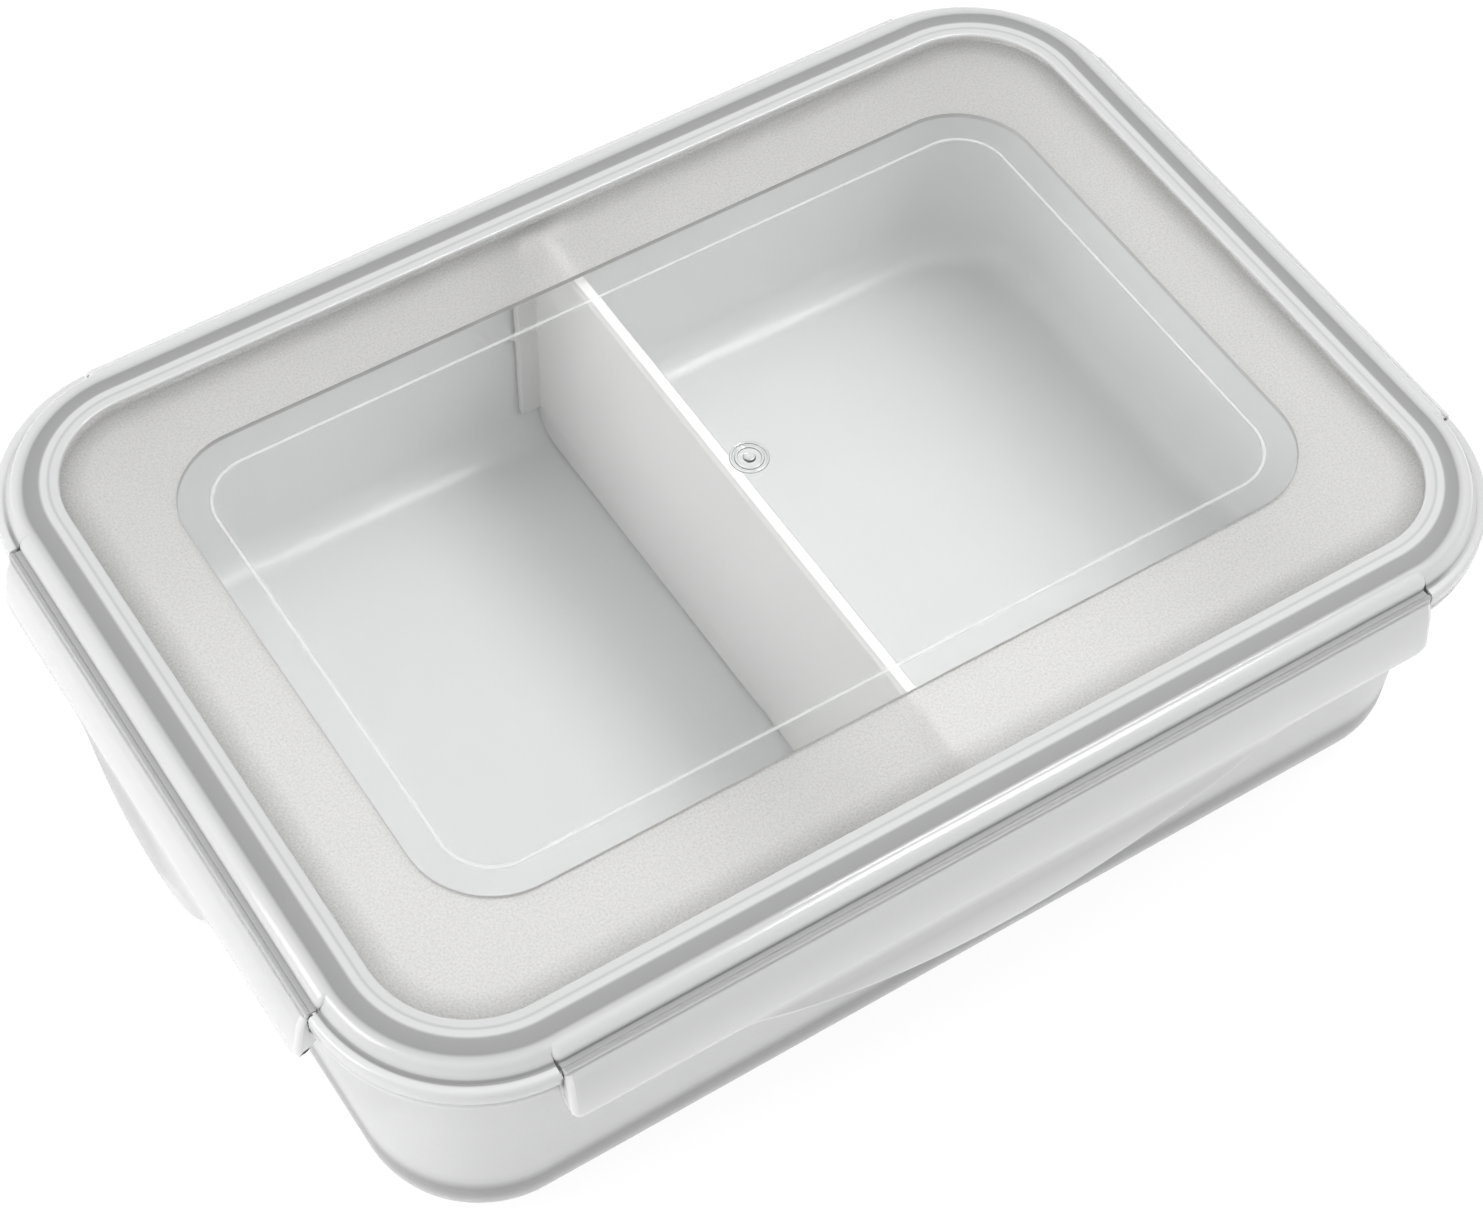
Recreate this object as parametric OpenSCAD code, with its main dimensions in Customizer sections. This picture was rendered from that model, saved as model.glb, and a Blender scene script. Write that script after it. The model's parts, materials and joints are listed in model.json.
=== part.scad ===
/* [Overall] */
// Length between the inner edges of the seal line, along X
seal_l = 200; // [170:1:240]
// Width between the inner edges of the seal line, along Y
seal_w = 137.3; // [120:0.1:170]
// Height from the table to the top of the lid's ring
total_h = 61; // [50:0.5:80]
// Corner radius of the seal line in plan
seal_r = 20; // [18:0.5:26]

/* [Tub] */
// Wall thickness of the tub
tub_wall = 1.6; // [1.2:0.1:2.2]
// Thickness of the tub's floor
floor_t = 1.8; // [1.2:0.1:2.5]
// Outside of the wall just under the rim, outwards of the seal line
wall_top_out = 1.4; // [1:0.1:1.6]
// Outside of the wall at the floor, outwards of the seal line
wall_low_out = 0.4; // [0:0.1:0.9]
// Radius between the wall and the floor, outside
floor_r = 8; // [5:0.5:11]
// Height of the ring that the tub stands on
foot_h = 1.6; // [1:0.1:3]
// Width of the ring that the tub stands on
foot_w = 2; // [1.5:0.1:4]
// Distance of the foot ring's outside from the outside of the wall
foot_inset = 6; // [5:0.5:12]

/* [Rim] */
// Gap between the underside of the seal and the rim's top
seal_gap = 0.2; // [0.1:0.05:0.3]
// Thickness of the upright rim
rim_t = 1.8; // [1.5:0.1:2.2]
// Inside of the upright rim, outwards of the seal line
rim_in = 0.9; // [0.8:0.05:1.1]
// Height of the step in the wall under the rim
rim_step = 2; // [1.5:0.1:3]
// Height from the rail's underside up to the rim's top
rim_up = 5.2; // [5:0.1:6]
// Thickness of the rail that runs round the rim
rail_t = 1.6; // [1.2:0.1:2]
// Reach of the rail at the corners, outwards of the seal line
rail_corner_out = 7.6; // [7:0.1:8]
// Reach of the rail under the latches, outwards of the seal line
rail_latch_out = 5.4; // [5:0.1:5.8]

/* [Lid] */
// Thickness of the lid's ring over the seal
ring_t = 1.2; // [1:0.1:1.5]
// Inner edge of the ring, inwards of the seal line
ring_in = 3.6; // [3:0.1:5]
// Outer edge of the ring's flat top, outwards of the seal line
ring_flat_out = 5.2; // [5:0.1:5.4]
// Drop from the ring's top to the panel's top
panel_drop = 0.6; // [0.4:0.1:1]
// Thickness of the frosted panel
panel_t = 1.4; // [1:0.1:2]
// Outside of the lid's skirt at the corners, outwards of the seal line
skirt_out = 8; // [7.8:0.1:8.4]
// Thickness of the skirt
skirt_t = 1.2; // [1:0.1:1.4]
// Width of the skirt's shelf
shelf_w = 1.8; // [1.7:0.05:2]
// Drop from the ring's top to the skirt's shelf
shelf_drop = 3.1; // [2.8:0.1:3.4]
// Drop from the ring's top to the skirt's lower edge
skirt_drop = 6.2; // [6:0.1:6.5]
// Reach of the shoulders that carry the latches
shoulder_out = 6.3; // [6:0.1:6.5]
// Drop of the lip that goes inside the tub
lip_drop = 6.6; // [5.5:0.1:9]
// Thickness of the lip that goes inside the tub
lip_t = 1.2; // [1:0.1:1.6]

/* [Window] */
// Length of the clear window
window_l = 165.4; // [140:0.2:180]
// Width of the clear window
window_w = 100.2; // [80:0.2:115]
// Corner radius of the clear window
window_r = 14.5; // [8:0.5:25]
// Width of the sloping border of the window
bevel_w = 6; // [3:0.5:10]
// Depth of the window below the panel
bevel_drop = 0.8; // [0.4:0.1:1.2]
// Thickness of the window
window_t = 1.5; // [1:0.1:2]
// Outside diameter of the moulding gate mark
gate_d = 6.7; // [5:0.1:9]
// Diameter of the gate mark's inner ring
gate_ring_d = 5; // [3.5:0.1:5.5]
// Diameter of the gate mark's nub
gate_nub_d = 1.8; // [1:0.1:2.5]
// Height of the gate mark
gate_h = 0.5; // [0.3:0.05:0.8]

/* [Seal] */
// Width of the seal
seal_ring_w = 3.5; // [3:0.1:3.7]
// Height of the seal
seal_ring_h = 2.2; // [1.8:0.1:2.6]
// Diameter of the hollow in the seal
seal_hollow_d = 0.9; // [0.6:0.1:1.2]

/* [Latches] */
// Length of the latches on the long sides
latch_long_l = 162; // [120:1:162]
// Length of the latches on the short sides
latch_short_l = 98; // [80:1:99]
// Thickness of the latch plate
latch_t = 1.8; // [1.5:0.1:2.2]
// Hinge line, outwards of the seal line
hinge_out = 7.6; // [7.5:0.05:7.7]
// Drop from the ring's top to the hinge line
hinge_drop = 3.4; // [3.2:0.1:3.6]
// Diameter of the bead at the top of a latch
bead_d = 1; // [0.8:0.05:1.1]
// Outside of the latch at its lower edge, outwards of the seal line
latch_low_out = 10.5; // [10.2:0.1:11]
// Outside of the latch under its hinge, outwards of the seal line
latch_top_out = 9.6; // [9.4:0.1:9.8]
// Drop from the ring's top to the latch's straight lower edge
latch_drop = 15; // [14:0.5:17]
// Drop from the ring's top to the lowest point of the finger tab
tab_drop = 28; // [22:0.5:30]
// Length of the finger tabs on the long sides
tab_long_l = 100; // [70:1:110]
// Length of the finger tabs on the short sides
tab_short_l = 42; // [36:1:60]
// Radius of the arcs that blend the long sides' tabs into the latch
tab_long_blend = 15; // [4:1:20]
// Radius of the arcs that blend the short sides' tabs into the latch
tab_short_blend = 6; // [3:1:10]
// Radius of the latches' lower corners
latch_corner_r = 2.5; // [1:0.5:4]
// Clearance between the hook and the rail's edge
hook_gap = 0.25; // [0.2:0.05:0.3]
// Height of the hook
hook_h = 1.6; // [1.2:0.1:2]
// Thickness of the hinge film
film_t = 0.5; // [0.4:0.05:0.6]
// Gap between the hinge film and the latch's bead
film_gap = 0.08; // [0.05:0.01:0.12]

/* [Divider] */
// Thickness of the divider
divider_t = 2; // [1.6:0.1:3]
// Thickness of the bead along the divider's top
divider_bead_t = 2.8; // [2.6:0.1:3.6]
// Width of the guides at the divider's ends
guide_w = 10; // [8:0.5:16]
// Thickness of the guides
guide_t = 1.6; // [1.2:0.1:2.2]
// Gap between the divider and the tub
divider_gap = 0.4; // [0.3:0.05:0.8]
// Gap between the divider's upper corners and the lid's lip
divider_lip_gap = 1.6; // [1.4:0.1:2.5]
// Gap between the divider's top and the lid
divider_top_gap = 1.6; // [1.2:0.1:6]

/* [Hidden] */
$fn = 96;
eps = 0.01;
over = 1;

half_l = seal_l / 2;
half_w = seal_w / 2;

// Heights, all counted up from the table
ring_z = total_h;
panel_z = ring_z - panel_drop;
roof_z = ring_z - ring_t;
shelf_z = ring_z - shelf_drop;
hinge_z = ring_z - hinge_drop;
seal_low_z = roof_z - seal_ring_h;
rim_top_z = seal_low_z - seal_gap;
rail_low_z = rim_top_z - rim_up;
step_z = rail_low_z - rim_step;
window_z = panel_z - bevel_drop;

// Inside of the tub, outwards of the seal line
floor_join = 1.5;
cave_top_out = wall_top_out - tub_wall;
cave_low_out = wall_low_out - tub_wall;
cave_r = floor_r - tub_wall;
floor_z = foot_h + floor_t;
foot_out = wall_low_out - foot_inset;
floor_join_out = wall_low_out - floor_r - floor_join;

// Channel that holds the seal
channel_in = 0;
channel_out = channel_in + seal_ring_w;
edge_r = 0.8;
ring_fall = 0.25;
edge_fall = 0.3;
shoulder_r = 1.2;
shoulder_join = 0.5;
shoulder_lip_h = 0.9;
gate_wall = 0.4;
gate_taper = 0.6;
step_soft = 0.35;

// Latches
bead_r = bead_d / 2;
hook_z = rail_low_z - hook_gap;
hook_in = rail_latch_out + hook_gap;
latch_low_z = ring_z - latch_drop;
tab_low_z = ring_z - tab_drop;
latch_end_gap = 0.5;
knee_in = 0.6;
knee_drop = 1.8;
belly_z = latch_low_z + 2;
belly_drop = 2;
belly_in = 0.3;
shoulder_lip_t = 1.2;
film_inset = 3;
film_out = hinge_out - bead_r - film_gap;

// Rounded rectangle grown by out on every side
module plan(length, width, corner, out) {
    r = max(corner + out, 1);
    for (along = [0, 1])
        square([length + 2 * out - 2 * r * along, width + 2 * out - 2 * r * (1 - along)], center = true);
    for (sx = [-1, 1], sy = [-1, 1])
        translate([sx * (length / 2 + out - r), sy * (width / 2 + out - r)]) circle(r);
}

// Flat slab between two heights, grown by out from the seal line
module slab(out, low, high) {
    translate([0, 0, low]) linear_extrude(high - low) plan(seal_l, seal_w, seal_r, out);
}

// Sweeps a profile of [outwards, height] round a rounded rectangle
module sweep(length, width, corner) {
    side_x = length / 2 - corner;
    side_y = width / 2 - corner;
    for (turn = [0 : 3]) {
        run = turn % 2 == 0 ? side_y : side_x;
        reach = turn % 2 == 0 ? side_x : side_y;
        rotate(turn * 90) {
            translate([reach + corner, run, 0]) rotate([90, 0, 0]) linear_extrude(2 * run) children();
            translate([reach, run, 0]) rotate_extrude(angle = 90) translate([corner, 0]) children();
        }
    }
}

module seal_sweep() {
    sweep(seal_l, seal_w, seal_r) children();
}

// Points of an arc in the profile plane
function arc(cx, cz, r, from, to, steps = 8) =
    [for (i = [0 : steps]) let (a = from + (to - from) * i / steps) [cx + r * cos(a), cz + r * sin(a)]];

// Puts its children, made with outwards along X, on one of the four sides
module on_side(side) {
    angle = side == "right" ? 0 : side == "back" ? 90 : side == "left" ? 180 : 270;
    rotate(angle) translate([angle % 180 == 0 ? half_l : half_w, 0, 0]) children();
}

// Extrudes a profile of [outwards, height] along a side, centred on it
module run_along(length) {
    translate([0, length / 2, 0]) rotate([90, 0, 0]) linear_extrude(length) children();
}

function latch_len(side) = side == "front" || side == "back" ? latch_long_l : latch_short_l;
function slot_len(side) = latch_len(side) + 2 * latch_end_gap;
function tab_len(side) = side == "front" || side == "back" ? tab_long_l : tab_short_l;
function tab_blend_r(side) = side == "front" || side == "back" ? tab_long_blend : tab_short_blend;
SIDES = ["front", "back", "left", "right"];

// ---- Tub ----

module tub_wall_profile() {
    outside = concat(
        [[floor_join_out, foot_h]],
        arc(wall_low_out - floor_r, foot_h + floor_r, floor_r, 270, 360),
        [[wall_top_out, step_z],
         [rim_in + rim_t, rail_low_z],
         [rail_corner_out, rail_low_z],
         [rail_corner_out, rail_low_z + rail_t],
         [rim_in + rim_t, rail_low_z + rail_t],
         [rim_in + rim_t, rim_top_z - step_soft],
         [rim_in + rim_t - step_soft, rim_top_z]]);
    inside = concat(
        [[rim_in + step_soft, rim_top_z],
         [rim_in, rim_top_z - step_soft],
         [rim_in, rail_low_z],
         [cave_top_out, step_z]],
        arc(cave_low_out - cave_r, floor_z + cave_r, cave_r, 360, 270),
        [[floor_join_out, floor_z]]);
    polygon(concat(outside, inside));
}

module tub() {
    color("whitesmoke", 0.6) difference() {
        union() {
            seal_sweep() tub_wall_profile();
            slab(wall_low_out - floor_r, foot_h, floor_z);
            seal_sweep() translate([foot_out - foot_w, 0]) square([foot_w, foot_h + floor_t / 2]);
        }
        for (side = SIDES)
            on_side(side)
                translate([rail_latch_out, -slot_len(side) / 2, rail_low_z - eps])
                    cube([rail_corner_out, slot_len(side), rail_t + 2 * eps]);
    }
}

// ---- Divider ----

divider_top_z = window_z - window_t - divider_top_gap;
divider_neck_z = ring_z - lip_drop - divider_gap;
divider_lip_w = half_w + channel_in - lip_t - divider_lip_gap;
divider_top_w = half_w + cave_top_out - divider_gap;
divider_low_w = half_w + cave_low_out - divider_gap;
divider_low_z = floor_z + divider_gap;
divider_r = cave_r;

// Half outline of the divider as [outwards along Y, height], cut back by cut at its end
function divider_edge(cut) = concat(
    [[0, divider_low_z]],
    arc(divider_low_w - divider_r - cut, divider_low_z + divider_r, divider_r, 270, 360),
    [[divider_top_w - cut, step_z],
     [divider_lip_w - cut, divider_neck_z],
     [divider_lip_w - cut, divider_top_z],
     [0, divider_top_z]]);

module divider_plate(thick, cut) {
    for (end = [0, 1])
        mirror([0, end, 0]) translate([-thick / 2, 0, 0])
            rotate([90, 0, 90]) linear_extrude(thick) polygon(divider_edge(cut));
}

module divider() {
    color("white") union() {
        divider_plate(divider_t, 0);
        difference() {
            divider_plate(guide_w, 0);
            divider_plate(guide_w + over, guide_t);
            translate([-guide_w, -seal_w / 2, 0]) cube([2 * guide_w, seal_w, divider_low_z + divider_r]);
        }
        translate([0, 0, divider_top_z - divider_bead_t / 2]) rotate([90, 0, 0])
            cylinder(h = 2 * divider_lip_w, d = divider_bead_t, center = true);
    }
}

// ---- Lid ----

// Points of the ring's top, from the panel outwards to the end of its flat
ring_top = [
    [-ring_in, panel_z],
    [-ring_in, ring_z - step_soft],
    [-ring_in + step_soft, ring_z],
    [channel_in, ring_z],
    [channel_out, ring_z - ring_fall]];

// The part of the ring over the seal, with the lip that goes inside the tub
ring_under = [
    [channel_out, shelf_z - skirt_t],
    [channel_out, roof_z],
    [channel_in, roof_z],
    [channel_in, ring_z - lip_drop],
    [channel_in - lip_t, ring_z - lip_drop],
    [channel_in - lip_t, panel_z - panel_t],
    [-ring_in, panel_z - panel_t]];

module corner_profile() {
    polygon(concat(
        ring_top,
        arc(ring_flat_out - edge_r, ring_z - ring_fall - edge_fall - edge_r, edge_r, 75, 15, 4),
        [[skirt_out - shelf_w, shelf_z]],
        arc(skirt_out - edge_r, shelf_z - edge_r, edge_r, 90, 0, 4),
        [[skirt_out, ring_z - skirt_drop],
         [skirt_out - skirt_t, ring_z - skirt_drop],
         [skirt_out - skirt_t, shelf_z - skirt_t]],
        ring_under));
}

module shoulder_profile() {
    polygon(concat(
        ring_top,
        arc(shoulder_out - shoulder_r, ring_z - ring_fall - edge_fall - shoulder_r, shoulder_r, 80, 0, 4),
        [[shoulder_out, hinge_z - shoulder_lip_h],
         [shoulder_out - shoulder_lip_t, hinge_z - shoulder_lip_h],
         [shoulder_out - shoulder_lip_t, shelf_z - skirt_t]],
        ring_under));
}

// Plan of a shoulder, with rounded tips at its ends
module shoulder_plan(length) {
    tip = shoulder_out - channel_out;
    reach = length / 2 - tip;
    translate([channel_out - shoulder_join, -length / 2]) square([shoulder_join, length]);
    translate([channel_out, -reach]) square([tip, 2 * reach]);
    for (end = [-1, 1])
        intersection() {
            translate([channel_out, end * reach]) circle(tip);
            translate([channel_out, -length / 2]) square([tip, length]);
        }
}

module shoulder(length) {
    intersection() {
        run_along(length) shoulder_profile();
        linear_extrude(total_h) shoulder_plan(length);
    }
}

module lid_frame() {
    color("gainsboro", 0.7) union() {
        difference() {
            seal_sweep() corner_profile();
            for (side = SIDES)
                on_side(side)
                    translate([ring_flat_out, -slot_len(side) / 2, ring_z - skirt_drop - over])
                        cube([skirt_out, slot_len(side), skirt_drop + 2 * over]);
        }
        for (side = SIDES)
            on_side(side) shoulder(slot_len(side));
    }
}

module window_plan(out) {
    plan(window_l, window_w, window_r, out);
}

module lid_panel() {
    color("gainsboro", 0.6) difference() {
        slab(-ring_in, panel_z - panel_t, panel_z);
        translate([0, 0, panel_z - panel_t - over]) linear_extrude(panel_t + 2 * over) window_plan(0);
    }
}

module gate_ring(outer_d, height) {
    rotate_extrude() translate([outer_d / 2 - gate_wall, 0]) square([gate_wall, height]);
}

module window() {
    color("aliceblue", 0.3) union() {
        sweep(window_l, window_w, window_r)
            polygon([[0, panel_z - panel_t], [0, panel_z],
                     [-bevel_w, window_z], [-bevel_w, window_z - window_t]]);
        translate([0, 0, window_z - window_t]) linear_extrude(window_t) window_plan(-bevel_w);
        translate([0, 0, window_z - eps]) {
            gate_ring(gate_d, gate_h * gate_taper);
            gate_ring(gate_ring_d, gate_h);
            cylinder(h = gate_h, d1 = gate_nub_d, d2 = gate_nub_d * gate_taper);
        }
    }
}

module seal() {
    color("silver") seal_sweep() difference() {
        translate([channel_in, seal_low_z]) square([seal_ring_w, seal_ring_h]);
        translate([channel_in + seal_ring_w / 2, seal_low_z + seal_ring_h / 2]) circle(d = seal_hollow_d);
    }
}

// ---- Latches ----

module hinge_film(side) {
    length = latch_len(side) - 2 * film_inset;
    color("gainsboro", 0.7) on_side(side)
        translate([shoulder_out, -length / 2, hinge_z - film_t / 2])
            cube([film_out - shoulder_out, length, film_t]);
}

// Section of a latch as [outwards, height], from the hinge down to the end of its finger tab
module latch_section() {
    polygon([
        [hinge_out + bead_r, hinge_z],
        [latch_top_out - knee_in, hinge_z - knee_drop],
        [latch_top_out, hinge_z - 2 * knee_drop],
        [latch_low_out - belly_in, belly_z + belly_drop],
        [latch_low_out, belly_z],
        [latch_low_out, tab_low_z],
        [latch_low_out - latch_t, tab_low_z],
        [latch_low_out - latch_t, belly_z],
        [hook_in, hook_z - hook_h],
        [hook_in, hook_z],
        [latch_top_out - latch_t, hook_z],
        [latch_top_out - latch_t, hinge_z - knee_drop],
        [hinge_out - bead_r, hinge_z]]);
}

// Outline of the plate of a latch as [along, height], with round lower corners
module plate_outline(length) {
    rise = hinge_z - latch_low_z;
    translate([-length / 2, latch_low_z + latch_corner_r]) square([length, rise - latch_corner_r]);
    translate([latch_corner_r - length / 2, latch_low_z]) square([length - 2 * latch_corner_r, rise]);
    for (end = [-1, 1])
        translate([end * (length / 2 - latch_corner_r), latch_low_z + latch_corner_r])
            circle(latch_corner_r);
}

// Outline of the finger tab: part of a circle, blended into the plate's lower edge by arcs
module tab_outline(length, blend_r) {
    depth = latch_low_z - tab_low_z;
    tab_r = (pow(length / 2, 2) + pow(depth, 2)) / (2 * depth);
    tab_z = tab_low_z + tab_r;
    blend_z = latch_low_z - blend_r;
    blend_y = sqrt(pow(tab_r + blend_r, 2) - pow(tab_z - blend_z, 2));
    share = tab_r / (tab_r + blend_r);
    meet_y = blend_y * share;
    meet_z = tab_z - (tab_z - blend_z) * share;
    intersection() {
        translate([0, tab_z]) circle(tab_r);
        translate([-length / 2, tab_low_z - over]) square([length, depth + 2 * over]);
    }
    for (end = [0, 1])
        mirror([end, 0]) difference() {
            polygon([[blend_y, latch_low_z + over], [blend_y, latch_low_z],
                     [meet_y, meet_z], [meet_y - over, latch_low_z + over]]);
            translate([blend_y, blend_z]) circle(blend_r);
        }
}

module latch(side) {
    color("gainsboro", 0.7) on_side(side) union() {
        intersection() {
            run_along(latch_len(side)) latch_section();
            rotate([90, 0, 90]) linear_extrude(latch_low_out + over) {
                plate_outline(latch_len(side));
                tab_outline(tab_len(side), tab_blend_r(side));
            }
        }
        translate([hinge_out, 0, hinge_z]) rotate([90, 0, 0])
            cylinder(h = latch_len(side), r = bead_r, center = true);
    }
}

tub();
divider();
lid_frame();
lid_panel();
window();
seal();
hinge_film("front");  // hinge_film_front
hinge_film("back");  // hinge_film_back
hinge_film("left");  // hinge_film_left
hinge_film("right");  // hinge_film_right
latch("front");  // latch_front
latch("back");  // latch_back
latch("left");  // latch_left
latch("right");  // latch_right
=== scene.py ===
"""Lunch box: a milky tub with a divider, and a lid with a clear window and four hinged latches."""

import json
import math

import bpy
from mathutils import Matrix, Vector

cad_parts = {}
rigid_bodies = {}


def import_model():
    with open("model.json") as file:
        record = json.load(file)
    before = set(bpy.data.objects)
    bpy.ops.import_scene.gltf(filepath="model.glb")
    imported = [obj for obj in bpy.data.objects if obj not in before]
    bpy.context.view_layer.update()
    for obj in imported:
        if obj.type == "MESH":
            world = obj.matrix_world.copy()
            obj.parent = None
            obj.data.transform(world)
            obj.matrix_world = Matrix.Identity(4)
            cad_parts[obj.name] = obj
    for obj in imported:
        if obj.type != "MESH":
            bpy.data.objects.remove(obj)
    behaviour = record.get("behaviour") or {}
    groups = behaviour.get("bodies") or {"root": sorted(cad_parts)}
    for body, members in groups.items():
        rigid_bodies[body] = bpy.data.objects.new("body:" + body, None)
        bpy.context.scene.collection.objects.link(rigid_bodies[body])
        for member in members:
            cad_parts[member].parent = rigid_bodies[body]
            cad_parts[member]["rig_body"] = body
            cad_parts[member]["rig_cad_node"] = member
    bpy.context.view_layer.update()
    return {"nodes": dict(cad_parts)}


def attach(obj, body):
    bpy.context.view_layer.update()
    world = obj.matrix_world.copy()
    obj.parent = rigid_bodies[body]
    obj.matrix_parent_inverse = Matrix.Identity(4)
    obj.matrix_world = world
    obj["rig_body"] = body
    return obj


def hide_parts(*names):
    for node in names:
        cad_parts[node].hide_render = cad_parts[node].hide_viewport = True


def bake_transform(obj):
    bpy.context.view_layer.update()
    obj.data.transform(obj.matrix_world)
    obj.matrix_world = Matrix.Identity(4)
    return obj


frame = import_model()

MM = 0.001
PLASTIC_IOR = 1.49

# ---- Sizes in millimetres: "out" counts outwards from the seal line, heights from the table ----

# How far a cutting piece runs past what it cuts, and how near points are merged
SPARE = 1.0
MERGE = 0.004

# The seal line, a rounded rectangle
SEAL_L = 200.0
SEAL_W = 137.3
SEAL_R = 20.0
CORNER_STEPS = 20

# The tub: the rail that the latches catch, the rim, the turn of the wall into the floor, the foot
RAIL_OUT = 7.6
RAIL_Z = 52.2
RAIL_T = 1.6
RAIL_NOTCH_OUT = 5.4
RIM_OUT = 2.7
RIM_IN = 0.9
RIM_Z = 57.4
EDGE_R = 0.5
WALL_T = 1.6
FLOOR_T = 1.8
FLOOR_LOW_Z = 1.6
TURN_OUT = -7.6
TURN_Z = 9.7
TURN_R = 7.2
FOOT_OUT = -5.6
FOOT_IN = -7.6
FOOT_R = 0.4

# The lid: its skirt, its top ring, the lip inside the tub and the groove that holds the seal
SKIRT_OUT = 8.0
SKIRT_T = 1.2
SKIRT_Z = 57.9
SKIRT_MIDDLE_Z = 56.4
SKIRT_LOW_Z = 54.8
SKIRT_R = 0.8
SKIRT_LOW_R = 0.2
LID_NOTCH_OUT = 5.2
RING_Z = 61.0
RING_OUT = 3.1
RING_IN = -2.8
RING_IN_R = 0.35
CROWN_OUT = 3.6
CROWN_Z = 59.25
CROWN_R = 1.7
RING_LOW_Z = 56.7
GROOVE_OUT = 3.5
GROOVE_Z = 59.8
LIP_T = 1.2
LIP_LOW_Z = 54.4
LIP_R = 0.3

# The seal: its middle, its round top corners and the two beads underneath
SEAL_MIDDLE_Z = 58.7
SEAL_TOP_R = 0.7
BEAD_Z = 58.2
BEAD_R = 0.6

# The frosted border, the hairline seam round its pieces, and the shoulders that carry the latches
PANEL_Z = 60.4
PANEL_LOW_Z = 59.0
PANEL_MIDDLE_Z = 59.7
PANEL_RIM_W = 3.0
OPENING_H = 4.0
SEAM = 0.02
SHOULDER_OUT = 6.3
SHOULDER_Z = 60.92
SHOULDER_R = 2.3
SHOULDER_TIPS = [(0, 0.55), (0.12, 0.72), (0.4, 0.88), (0.85, 0.97), (1.4, 1)]

# The window, its slope down to a flat middle, and the moulding mark in it
WINDOW_L = 165.4
WINDOW_W = 100.2
WINDOW_R = 14.5
WINDOW_Y = 1.0
WINDOW_Z = 59.6
WINDOW_T = 1.5
BEVEL_W = 5.5
GATE_X = 2.4
GATE_Y = 3.2
GATE_RINGS = [(3.1, 0.25), (2.25, 0.3)]
GATE_RING_RISE = 0.08
NUB_R = 1.1
NUB_RISE = 0.05
NUB_FLATNESS = 0.35

# The divider's soft edges
DIVIDER_EDGE_R = 0.3

# The latches: from the rim of the hinge down the outer face, and up the inner one past the catch
HINGE_OUT = 7.6
HINGE_Z = 57.6
HINGE_T = 0.4
HINGE_LAP = 0.1
HINGE_END_GAP = 0.1
HINGE_BEAD_R = 0.5
LATCH_LOW_Z = 46.0
TAB_LOW_Z = 33.0
LATCH_CORNER_R = 2.5
LATCH_OUT = 10.5
LATCH_FACE = [(8.1, 57.6), (8.5, 57.0), (8.95, 56.2), (9.3, 55.3), (9.6, 54.0), (9.85, 52.3),
              (10.1, 50.6), (10.35, 49.0), (LATCH_OUT, 47.8), (LATCH_OUT, LATCH_LOW_Z),
              (LATCH_OUT, TAB_LOW_Z)]
CATCH_IN = 5.65
LATCH_BACK = [(8.7, TAB_LOW_Z), (8.7, 47.6), (6.2, 50.2), (CATCH_IN, 50.6), (CATCH_IN, 51.9),
              (7.7, 51.95), (7.8, 55.4), (7.5, 56.8)]
LATCH_RIM_R = 0.9
LATCH_EDGE_R = 0.2
FACE_TOLERANCE = 0.02
END_GAP = 0.5

# Each side: its turn in degrees, its distance from the middle, the latch's length, the finger tab's
# width and the radius that blends the tab into the latch's lower edge
SIDES = {
    "front": {"turn": 270, "half": SEAL_W / 2, "length": 162.0, "tab": 100.0, "blend": 15.0},
    "back": {"turn": 90, "half": SEAL_W / 2, "length": 162.0, "tab": 100.0, "blend": 15.0},
    "left": {"turn": 180, "half": SEAL_L / 2, "length": 98.0, "tab": 42.0, "blend": 6.0},
    "right": {"turn": 0, "half": SEAL_L / 2, "length": 98.0, "tab": 42.0, "blend": 6.0},
}


# ---- Modelling helpers ----

def edit(obj):
    """Opens one object for editing, with nothing selected in it."""
    pick(obj)
    bpy.ops.object.mode_set(mode="EDIT")
    bpy.ops.mesh.select_all(action="DESELECT")


def done():
    """Closes the object that is open for editing."""
    bpy.ops.object.mode_set(mode="OBJECT")
    bpy.ops.object.select_all(action="DESELECT")


def pick(obj):
    """Selects one object alone and makes it the active one."""
    bpy.ops.object.select_all(action="DESELECT")
    bpy.context.view_layer.objects.active = obj
    obj.select_set(True)


def settle(obj, place=(0, 0, 0), turn=0.0):
    """Moves and turns an object about Z, and keeps its place, turn and size in its mesh."""
    pick(obj)
    obj.location = place
    obj.rotation_euler = (0, 0, turn)
    bpy.ops.object.transform_apply(location=True, rotation=True, scale=True)


def name_it(obj, name):
    """Names an object and its mesh."""
    obj.name = name
    obj.data.name = name
    return obj


def add_cube(name, low, high):
    """A cube between two corners in millimetres, its place in its mesh."""
    bpy.ops.object.select_all(action="DESELECT")
    middle = [(a + b) / 2 * MM for a, b in zip(low, high)]
    bpy.ops.mesh.primitive_cube_add(size=1, location=middle)
    obj = bpy.context.object
    obj.scale = [(b - a) * MM for a, b in zip(low, high)]
    bpy.ops.object.transform_apply(location=True, rotation=True, scale=True)
    return name_it(obj, name)


def half_length(side, gap=0.0):
    """Half the length of a side's latch, and a gap beyond its end."""
    return SIDES[side]["length"] / 2 + gap


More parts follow.
